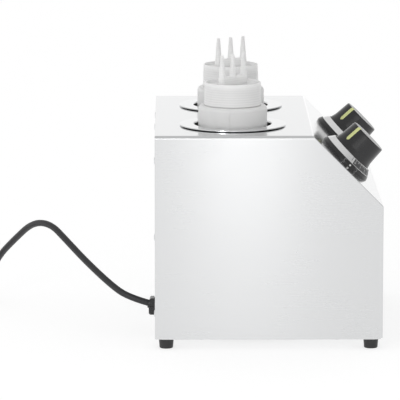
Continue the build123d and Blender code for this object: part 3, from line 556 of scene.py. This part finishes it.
def panel_screws():
    """Heads on the rear panel (three up each side, two along the bottom and top) and under the base."""
    low, high = REAR_SCREW_Z
    edge = CASE_WIDTH / 2 - REAR_SCREW_IN
    spots = [(side * edge, low + (high - low) * share) for side in (-1, 1) for share in (0.1, 0.5, 0.9)]
    spots += [(side * edge * 0.3, z) for side in (-1, 1) for z in (low, high)]
    out = Matrix.Rotation(-math.pi / 2, 4, "Y")
    places = [
        Matrix.Translation((-MIDDLE_X, y, z)) @ out @ Matrix.Rotation(0.4 + 1.7 * i, 4, "Z")
        for i, (y, z) in enumerate(spots)
    ]
    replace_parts(screw_heads("rear_screw_heads", places, 0.0038, 0.0009), "rear_panel_screws")
    edge = CASE_WIDTH / 2 - BASE_SCREW_IN
    down = Matrix.Rotation(math.pi, 4, "X")
    places = [
        Matrix.Translation((CASE_LENGTH * share - MIDDLE_X, side * edge, BASE_SCREW_Z)) @ down
        @ Matrix.Rotation(0.3 + 2.1 * share * side, 4, "Z")
        for share in (0.2, 0.5, 0.8) for side in (-1, 1)
    ]
    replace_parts(screw_heads("base_screw_heads", places, 0.0036, 0.0006), "base_plate_screws")


def knob_wall(z):
    """The knob's radius at a height, on its tapered wall."""
    (low_r, low_z), (high_r, high_z) = KNOB_WALL
    return low_r - (z - low_z) * (low_r - high_r) / (high_z - low_z)


def pointer_bar(side):
    """Rounded bar down the knob's wall and over its top edge, crowned a little."""
    top, steps = KNOB_WALL[1][1], 14
    heights = [POINTER_FOOT_Z + i * POINTER_RUN / steps for i in range(steps + 1)]
    path = [(knob_wall(z), z, 0.0) for z in heights]
    corner_r, corner_z = knob_wall(top) - KNOB_EDGE, top - KNOB_EDGE
    for i in range(1, 7):
        angle = math.pi / 2 * i / 7
        path.append((corner_r + KNOB_EDGE * math.cos(angle), corner_z + KNOB_EDGE * math.sin(angle), angle))
    path += [(corner_r - i * 0.0007, top, math.pi / 2) for i in range(4)]
    runs = [0.0]
    for before, after in zip(path, path[1:]):
        runs.append(runs[-1] + math.hypot(after[0] - before[0], after[1] - before[1]))
    radial, tangent = radial_and_tangent(from_upslope(POINTER_TURN))
    place, points = on_slope(side), []
    for (radius, z, angle), run in zip(path, runs):
        from_end = min(run, runs[-1] - run) / POINTER_HALF
        width = POINTER_HALF * math.sqrt(max(0.02, 1 - max(0.0, 1 - from_end) ** 2))
        normal = radial * math.cos(angle) + UP * math.sin(angle)
        for share, lift in POINTER_SECTION:
            points.append(place @ (radial * radius + UP * z + tangent * share * width + normal * lift))
    count = len(POINTER_SECTION)
    ends = [tuple(range(count)), tuple(len(points) - 1 - i for i in range(count))]
    faces = strip_faces(len(path), count) + ends
    bar = mesh_from(f"pointer_bar_{side}", points, faces, "cream", f"control_{side}", 50)
    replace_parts(bar, f"knob_pointer_{side}")


def window_rim(side):
    """Raised rim round the oval window on the bezel's slanted wall."""
    place = on_slope(side)
    (foot_r, foot_z), (head_r, head_z) = BEZEL
    straight = WINDOW_HALF_LONG - WINDOW_HALF_HIGH
    count, tube = 72, 8
    points = []
    for i in range(count):
        angle = 2 * math.pi * i / count
        across = straight * math.copysign(1, math.cos(angle)) + WINDOW_HALF_HIGH * math.cos(angle)
        z = WINDOW_Z + WINDOW_HALF_HIGH * math.sin(angle)
        radius = foot_r + (head_r - foot_r) * max(0.0, (z - foot_z) / (head_z - foot_z)) + 0.00005
        turn = WINDOW_TURN + math.degrees(across / radius)
        outward = polar(turn, 1, 0)
        sideways = (polar(turn + 1, 1, 0) - outward).normalized()
        from_middle = sideways * math.cos(angle) + UP * math.sin(angle)
        for j in range(tube):
            tilt = 2 * math.pi * j / tube
            offset = (outward * math.sin(tilt) + from_middle * math.cos(tilt)) * WINDOW_RIM_R
            points.append(place @ (polar(turn, radius, z) + offset))
    last = (count - 1) * tube
    faces = strip_faces(count, tube, closed=True)
    faces += [(last + j, last + (j + 1) % tube, (j + 1) % tube, j) for j in range(tube)]
    mesh_from(f"window_rim_{side}", points, faces, "rim", "warmer")


def index_dot(side):
    """Domed pin in the window, coloured white as a painted highlight."""
    place, rings, spokes, points = on_slope(side), 7, 24, []
    turn = WINDOW_TURN - 1.5
    centre, outward, sideways = polar(turn, DOT_FROM_AXIS, DOT_Z), polar(turn, 1, 0), polar(turn + 90, 1, 0)
    for ring in range(rings):
        tilt = math.pi / 2 * ring / (rings - 1)
        flat = DOT_R * math.cos(tilt) + 0.00001
        for spoke in range(spokes):
            angle = 2 * math.pi * spoke / spokes
            offset = (sideways * math.cos(angle) + UP * math.sin(angle)) * flat
            points.append(place @ (centre + offset + outward * DOT_RISE * math.sin(tilt)))
    faces = strip_faces(rings, spokes, closed=True)
    mesh_from(f"index_dot_{side}", points, faces, "painted_highlight", "warmer")


def at_ring(turn, share, lift):
    """A place on the scale ring's cone, `share` of the way up it: x round the ring, y up it, z out of it."""
    (foot_r, foot_z), (head_r, head_z) = RING
    slant = Vector((head_r - foot_r, 0, head_z - foot_z))
    outward, tangent = radial_and_tangent(from_upslope(turn))
    up = (outward * slant.x + UP * slant.z).normalized()
    normal = tangent.cross(up)
    spot = outward * foot_r + UP * foot_z + up * slant.length * share + normal * lift
    return Matrix.Translation(spot) @ Matrix((tangent, up, normal)).transposed().to_4x4()


def dial_marks(side):
    """Printed ticks round the scale ring's lower half, and plain numbers at every other one."""
    form, place = bmesh.new(), on_slope(side)

    def add(mesh, matrix):
        start = len(form.verts)
        form.from_mesh(mesh)
        form.verts.ensure_lookup_table()
        bmesh.ops.transform(form, matrix=place @ matrix, verts=form.verts[start:])

    tick = bpy.data.meshes.new("tick")
    w, h, d = TICK_HALF
    corners = [(x, y, z) for z in (-d, d) for y in (-h, h) for x in (-w, w)]
    sides = [(0, 1, 3, 2), (4, 6, 7, 5), (0, 4, 5, 1), (2, 3, 7, 6), (0, 2, 6, 4), (1, 5, 7, 3)]
    tick.from_pydata(corners, [], sides)
    for i in range(2 * NUMBERS - 1):
        add(tick, at_ring(SCALE_TURN + NUMBER_STEP / 2 * i, 0.80, PRINT_LIFT))
    for i in range(NUMBERS):
        text = bpy.data.curves.new("number", "FONT")
        text.body, text.size, text.extrude, text.resolution_u = str(i), NUMBER_SIZE, d, 3
        text.align_x, text.align_y = "CENTER", "CENTER"
        holder = link("number", text)
        bpy.context.view_layer.update()
        number = bpy.data.meshes.new_from_object(holder)
        add(number, at_ring(SCALE_TURN + NUMBER_STEP * i, 0.38, PRINT_LIFT))
        bpy.data.objects.remove(holder)
    mesh = bpy.data.meshes.new("dial_marks")
    form.to_mesh(mesh)
    form.free()
    settle(f"dial_marks_{side}", mesh, "print", "warmer")


def dial_prints(side):
    """A dark band that the numbers stand on, painted on the half of the scale ring that faces down the slope
    as a painted reflection of the darker room on that side; and the single printed tick where the scale
    starts.
    """
    place, columns = on_slope(side), 90
    section = [(0.02, -0.00008), (0.06, 0.00004), (0.5, 0.00004), (0.93, 0.00004), (0.97, -0.00008)]
    points = [
        place @ at_ring(BAND_TURN + BAND_SWEEP * i / columns, share, lift).translation
        for i in range(columns + 1) for share, lift in section
    ]
    faces = strip_faces(columns + 1, len(section))
    # painted reflection: dark band over the ring's downhill half
    mesh_from(f"painted_reflection_band_{side}", points, faces, "ink_and_painted_reflection", "warmer")
    points = [
        place @ at_ring(turn, share, 0.00005).translation
        for turn in START_TICK for share in (0.3, 0.6, 0.97)
    ]
    mesh_from(f"dial_start_{side}", points, strip_faces(2, 3), "ink_and_painted_reflection", "warmer")


def neck_thread(side):
    """Rounded thread on the bottle's neck, run out at both ends."""
    steps = 160
    section = [(-0.0012, -0.0002), (-0.0006, 0.0007), (0.0, 0.0010), (0.0006, 0.0007), (0.0012, -0.0002)]
    points = []
    for i in range(steps + 1):
        share = i / steps
        radial = radial_and_tangent(2 * math.pi * THREAD_TURNS * share)[0]
        fade = min(1.0, share * 12, (1 - share) * 12)
        z = THREAD_Z + THREAD_PITCH * THREAD_TURNS * share
        for rise, lift in section:
            radius = NECK_R + (lift if lift < 0 else lift * fade)
            points.append(at_well(side) @ (radial * radius + UP * (z + rise)))
    faces = strip_faces(steps + 1, len(section))
    mesh_from(f"neck_thread_{side}", points, faces, "bottle", f"bottle_{side}", 60)


def mould_lines(side):
    """The fine raised seams that the two halves of the mould leave on the bottle."""
    path = [(BOTTLE_R, BOTTLE_FOOT_Z + i * 0.0095) for i in range(20)]
    path = [(radius, z) for radius, z in path if z < SHOULDER_Z - 0.0005] + [(BOTTLE_R, SHOULDER_Z - 0.0002)]
    for i in range(1, 7):
        angle = math.pi / 2 * i / 6
        radius = BOTTLE_R - SHOULDER_ROUND + SHOULDER_ROUND * math.cos(angle)
        path.append((radius, SHOULDER_Z + SHOULDER_ROUND * math.sin(angle)))
    section = [(-1, -0.0001), (-0.6, 0.0001), (0, 0.00022), (0.6, 0.0001), (1, -0.0001)]
    points, faces = [], []
    for turn in (-96, 84):
        start = len(points)
        radial, tangent = radial_and_tangent(math.radians(turn))
        for i, (radius, z) in enumerate(path):
            before, after = path[max(0, i - 1)], path[min(len(path) - 1, i + 1)]
            way = Vector((after[0] - before[0], after[1] - before[1])).normalized()
            normal = radial * way.y - UP * way.x
            for share, lift in section:
                spot = radial * radius + UP * z + tangent * share * SEAM_HALF + normal * lift
                points.append(at_well(side) @ spot)
        faces += strip_faces(len(path), len(section), start)
    mesh_from(f"mould_lines_{side}", points, faces, "bottle", f"bottle_{side}", 60)


panel_screws()
for row_side in SIDES:
    pointer_bar(row_side)
    window_rim(row_side)
    index_dot(row_side)
    dial_marks(row_side)
    dial_prints(row_side)
    neck_thread(row_side)
    mould_lines(row_side)

# ---- the studio


def add_stage():
    mesh = bpy.data.meshes.new("floor")
    form = bmesh.new()
    bmesh.ops.create_grid(form, x_segments=1, y_segments=1, size=14)
    form.to_mesh(mesh)
    form.free()
    floor = link("floor", mesh)
    f = Finish("floor")
    f.put(Base_Color=(0.42, 0.42, 0.42, 1), Roughness=0.9, Specular_IOR_Level=0.1)
    f.put(Emission_Color=(1, 1, 1, 1), Emission_Strength=0.68)
    assign(floor, f.material)

    world = bpy.data.worlds.new("studio")
    world.use_nodes = True
    tree = world.node_tree
    back = tree.nodes["Background"]
    axes = tree.nodes.new("ShaderNodeSeparateXYZ")
    tree.links.new(tree.nodes.new("ShaderNodeTexCoord").outputs["Generated"], axes.inputs[0])

    def ramp(axis, start, end, at_start, at_end, easing="SMOOTHSTEP"):
        node = tree.nodes.new("ShaderNodeMapRange")
        node.interpolation_type = easing
        for key, number in zip(MAP_KEYS, (start, end, at_start, at_end)):
            node.inputs[key].default_value = number
        tree.links.new(axes.outputs[axis], node.inputs["Value"])
        return node.outputs["Result"]

    strength = tree.nodes.new("ShaderNodeMath")
    strength.operation = "MULTIPLY"
    tree.links.new(ramp("X", 0.35, 0.95, 1.0, 0.7), strength.inputs[0])
    tree.links.new(ramp("Z", 0.0, 0.45, 1.2, 0.72, "LINEAR"), strength.inputs[1])
    tree.links.new(strength.outputs[0], back.inputs["Strength"])
    back.inputs["Color"].default_value = (1.0, 1.0, 1.0, 1)
    bpy.context.scene.world = world

    def softbox(name, at, towards, size, power):
        light = bpy.data.lights.new(name, "AREA")
        light.shape = "RECTANGLE"
        light.size, light.size_y = size
        light.energy = power
        lamp = link(name, light)
        lamp.location = at
        lamp.rotation_euler = (Vector(towards) - Vector(at)).to_track_quat("-Z", "Y").to_euler()

    softbox("front", (-0.0065, -1.2, 0.42), (-0.0065, 0, 0.12), (0.14, 0.78), 0.34)
    softbox("left", (-1.0, -2.4, 0.75), (0.1, 0, 0.2), (0.32, 0.6), 8)

    scene = bpy.context.scene
    scene.view_settings.view_transform = "Standard"
    scene.view_settings.look = "None"
    scene.view_settings.exposure = 0.0
    scene.view_settings.gamma = 1.0


add_stage()
